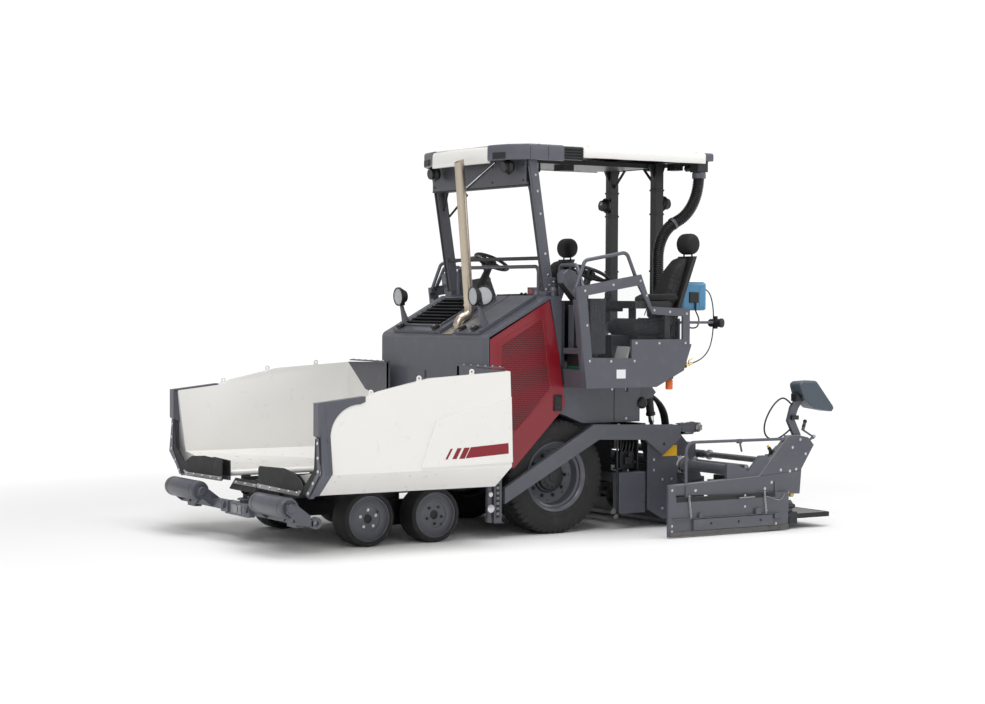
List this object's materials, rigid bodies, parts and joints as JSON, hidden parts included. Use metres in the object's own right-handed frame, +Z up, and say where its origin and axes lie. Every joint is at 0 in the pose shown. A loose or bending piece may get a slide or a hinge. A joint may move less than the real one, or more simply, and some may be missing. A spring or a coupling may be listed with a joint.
{
  "type": "wheeled asphalt paver",
  "caption": "Compact wheeled road paver with folding hopper wings, push rollers, engine bonnet, open twin-seat platform under a canopy, tow arms and an extending screed.",
  "frame": {"origin": "on the floor, in the middle of the machine's bounding box", "axes": "+X forwards to the hopper and push rollers, +Y to the machine's left, +Z up"},
  "size_m": [5.528, 3.5, 3.53],
  "materials": {
    "bare_steel": "worn",
    "black_plastic": "grained",
    "blue_plastic": "satin",
    "brass_fitting": "machined",
    "cast_block": "painted",
    "clear_sheet": "clear",
    "dark_paint": "satin",
    "flap_rubber": "matt",
    "grey_paint": "semi-gloss",
    "hose_plastic": "ribbed",
    "hose_rubber": "satin",
    "red_paint": "gloss",
    "rod_chrome": "polished",
    "seat_cover": "woven",
    "stainless": "heat tinted",
    "tyre_rubber": "matt",
    "white_paint": "gloss"
  },
  "bodies": {
    "tractor": {"auger_frame": "dark_paint", "body": "grey_paint", "bonnet": "grey_paint", "canopy_frame": "dark_paint", "canopy_roof": "white_paint", "chassis": "dark_paint", "console": "black_plastic", "conveyor": "bare_steel", "duct_hose": "hose_plastic", "engine": "cast_block", "exhaust": "stainless", "platform": "grey_paint", "seat_frame": "black_plastic", "seat_pads": "seat_cover", "spray_gun": "brass_fitting", "spray_hose": "hose_rubber", "stowage": "grey_paint", "tool_box": "blue_plastic", "tow_columns": "grey_paint", "window": "clear_sheet"},
    "rear_wheel_left": {"rear_tyre_left": "tyre_rubber", "rear_rim_left": "grey_paint"},
    "knuckle_front_left": {"knuckle_front_left": "dark_paint"},
    "bogie_wheel_front_left": {"bogie_wheel_front_left": "tyre_rubber"},
    "knuckle_rear_left": {"knuckle_rear_left": "dark_paint"},
    "bogie_wheel_rear_left": {"bogie_wheel_rear_left": "tyre_rubber"},
    "wing_left": {"wing_left": "white_paint", "wing_ear_left": "dark_paint", "wing_flap_left": "flap_rubber"},
    "push_roller_left": {"push_roller_left": "grey_paint"},
    "lid_left": {"lid_left": "grey_paint", "lamp_left": "black_plastic"},
    "side_door_left": {"side_door_left": "red_paint"},
    "extension_left": {"extension_left": "grey_paint", "control_cable_left": "hose_rubber"},
    "end_gate_left": {"end_gate_left": "grey_paint"},
    "auger_left": {"auger_left": "bare_steel"},
    "rear_wheel_right": {"rear_tyre_right": "tyre_rubber", "rear_rim_right": "grey_paint"},
    "knuckle_front_right": {"knuckle_front_right": "dark_paint"},
    "bogie_wheel_front_right": {"bogie_wheel_front_right": "tyre_rubber"},
    "knuckle_rear_right": {"knuckle_rear_right": "dark_paint"},
    "bogie_wheel_rear_right": {"bogie_wheel_rear_right": "tyre_rubber"},
    "wing_right": {"wing_right": "white_paint", "wing_ear_right": "dark_paint", "wing_flap_right": "flap_rubber"},
    "push_roller_right": {"push_roller_right": "grey_paint"},
    "lid_right": {"lid_right": "grey_paint", "lamp_right": "black_plastic"},
    "side_door_right": {"side_door_right": "red_paint"},
    "extension_right": {"extension_right": "grey_paint", "control_cable_right": "hose_rubber"},
    "end_gate_right": {"end_gate_right": "grey_paint"},
    "auger_right": {"auger_right": "bare_steel"},
    "push_beam": {"push_beam": "grey_paint"},
    "screed": {"tow_arms": "grey_paint", "screed": "grey_paint", "screed_plate": "bare_steel"},
    "lift_barrels": {"lift_barrels": "dark_paint"},
    "lift_rods": {"lift_rods": "rod_chrome"}
  },
  "joints": [
    {"name": "rear_wheel_left_spin", "type": "hinge", "parent": "tractor", "child": "rear_wheel_left", "pos_m": [-0.164, 0.7375, 0.52], "axis": [0, 1, 0], "continuous": true},
    {"name": "rear_wheel_right_spin", "type": "hinge", "parent": "tractor", "child": "rear_wheel_right", "pos_m": [-0.164, -0.7375, 0.52], "axis": [0, 1, 0], "continuous": true},
    {"name": "steer_front_left", "type": "hinge", "parent": "tractor", "child": "knuckle_front_left", "pos_m": [1.776, 0.6, 0.24], "axis": [0, 0, 1], "range_deg": [-20, 20]},
    {"name": "bogie_wheel_front_left_spin", "type": "hinge", "parent": "knuckle_front_left", "child": "bogie_wheel_front_left", "pos_m": [1.776, 0.8, 0.24], "axis": [0, 1, 0], "continuous": true},
    {"name": "steer_front_right", "type": "hinge", "parent": "tractor", "child": "knuckle_front_right", "pos_m": [1.776, -0.6, 0.24], "axis": [0, 0, 1], "range_deg": [-20, 20]},
    {"name": "bogie_wheel_front_right_spin", "type": "hinge", "parent": "knuckle_front_right", "child": "bogie_wheel_front_right", "pos_m": [1.776, -0.8, 0.24], "axis": [0, 1, 0], "continuous": true},
    {"name": "steer_rear_left", "type": "hinge", "parent": "tractor", "child": "knuckle_rear_left", "pos_m": [1.116, 0.6, 0.24], "axis": [0, 0, 1], "range_deg": [-20, 20]},
    {"name": "bogie_wheel_rear_left_spin", "type": "hinge", "parent": "knuckle_rear_left", "child": "bogie_wheel_rear_left", "pos_m": [1.116, 0.8, 0.24], "axis": [0, 1, 0], "continuous": true},
    {"name": "steer_rear_right", "type": "hinge", "parent": "tractor", "child": "knuckle_rear_right", "pos_m": [1.116, -0.6, 0.24], "axis": [0, 0, 1], "range_deg": [-20, 20]},
    {"name": "bogie_wheel_rear_right_spin", "type": "hinge", "parent": "knuckle_rear_right", "child": "bogie_wheel_rear_right", "pos_m": [1.116, -0.8, 0.24], "axis": [0, 1, 0], "continuous": true},
    {"name": "wing_left_fold", "type": "hinge", "parent": "tractor", "child": "wing_left", "pos_m": [1.596, 0.48, 0.56], "axis": [1, 0, 0], "range_deg": [0, 50]},
    {"name": "wing_right_fold", "type": "hinge", "parent": "tractor", "child": "wing_right", "pos_m": [1.596, -0.48, 0.56], "axis": [-1, 0, 0], "range_deg": [0, 50]},
    {"name": "push_beam_swing", "type": "hinge", "parent": "tractor", "child": "push_beam", "pos_m": [2.436, 0, 0.31], "axis": [0, 0, 1], "range_deg": [-8, 8]},
    {"name": "push_roller_left_spin", "type": "hinge", "parent": "push_beam", "child": "push_roller_left", "pos_m": [2.676, 0.914, 0.4], "axis": [0, 1, 0], "continuous": true},
    {"name": "push_roller_right_spin", "type": "hinge", "parent": "push_beam", "child": "push_roller_right", "pos_m": [2.676, -0.914, 0.4], "axis": [0, 1, 0], "continuous": true},
    {"name": "lid_left_open", "type": "hinge", "parent": "tractor", "child": "lid_left", "pos_m": [-0.014, 0.5, 2.145], "axis": [0, -1, 0], "range_deg": [0, 50]},
    {"name": "side_door_left_open", "type": "hinge", "parent": "tractor", "child": "side_door_left", "pos_m": [0.5845, 0.95, 1.2], "axis": [0, 0, -1], "range_deg": [0, 85]},
    {"name": "lid_right_open", "type": "hinge", "parent": "tractor", "child": "lid_right", "pos_m": [-0.014, -0.5, 2.145], "axis": [0, -1, 0], "range_deg": [0, 50]},
    {"name": "side_door_right_open", "type": "hinge", "parent": "tractor", "child": "side_door_right", "pos_m": [0.5845, -0.95, 1.2], "axis": [0, 0, 1], "range_deg": [0, 85]},
    {"name": "screed_lift", "type": "hinge", "parent": "tractor", "child": "screed", "pos_m": [0.496, 0, 0.38], "axis": [0, 1, 0], "range_deg": [0, 8]},
    {"name": "lift_barrels_swing", "type": "hinge", "parent": "tractor", "child": "lift_barrels", "pos_m": [-1.314, 0, 1.26], "axis": [0, 1, 0], "range_deg": [-1.9, 0]},
    {"name": "lift_rods_slide", "type": "slide", "parent": "lift_barrels", "child": "lift_rods", "axis": [0.1351, 0, 0.9908], "range_m": [0, 0.267]},
    {"name": "extension_left_slide", "type": "slide", "parent": "screed", "child": "extension_left", "axis": [0, -1, 0], "range_m": [0, 0.66]},
    {"name": "end_gate_left_slide", "type": "slide", "parent": "extension_left", "child": "end_gate_left", "axis": [0, 0, 1], "range_m": [0, 0.08]},
    {"name": "auger_left_spin", "type": "hinge", "parent": "tractor", "child": "auger_left", "pos_m": [-1.284, 0.46, 0.275], "axis": [0, 1, 0], "continuous": true},
    {"name": "extension_right_slide", "type": "slide", "parent": "screed", "child": "extension_right", "axis": [0, 1, 0], "range_m": [0, 0.66]},
    {"name": "end_gate_right_slide", "type": "slide", "parent": "extension_right", "child": "end_gate_right", "axis": [0, 0, 1], "range_m": [0, 0.08]},
    {"name": "auger_right_spin", "type": "hinge", "parent": "tractor", "child": "auger_right", "pos_m": [-1.284, -0.46, 0.275], "axis": [0, 1, 0], "continuous": true}
  ],
  "couplings": [
    {"joint": "lift_barrels_swing", "follows": "screed_lift", "ratio": -0.2369},
    {"joint": "lift_rods_slide", "follows": "screed_lift", "m_per_rad": 1.9072},
    {"joint": "steer_front_right", "follows": "steer_front_left", "ratio": 1},
    {"joint": "steer_rear_left", "follows": "steer_front_left", "ratio": 1},
    {"joint": "steer_rear_right", "follows": "steer_front_left", "ratio": 1}
  ]
}
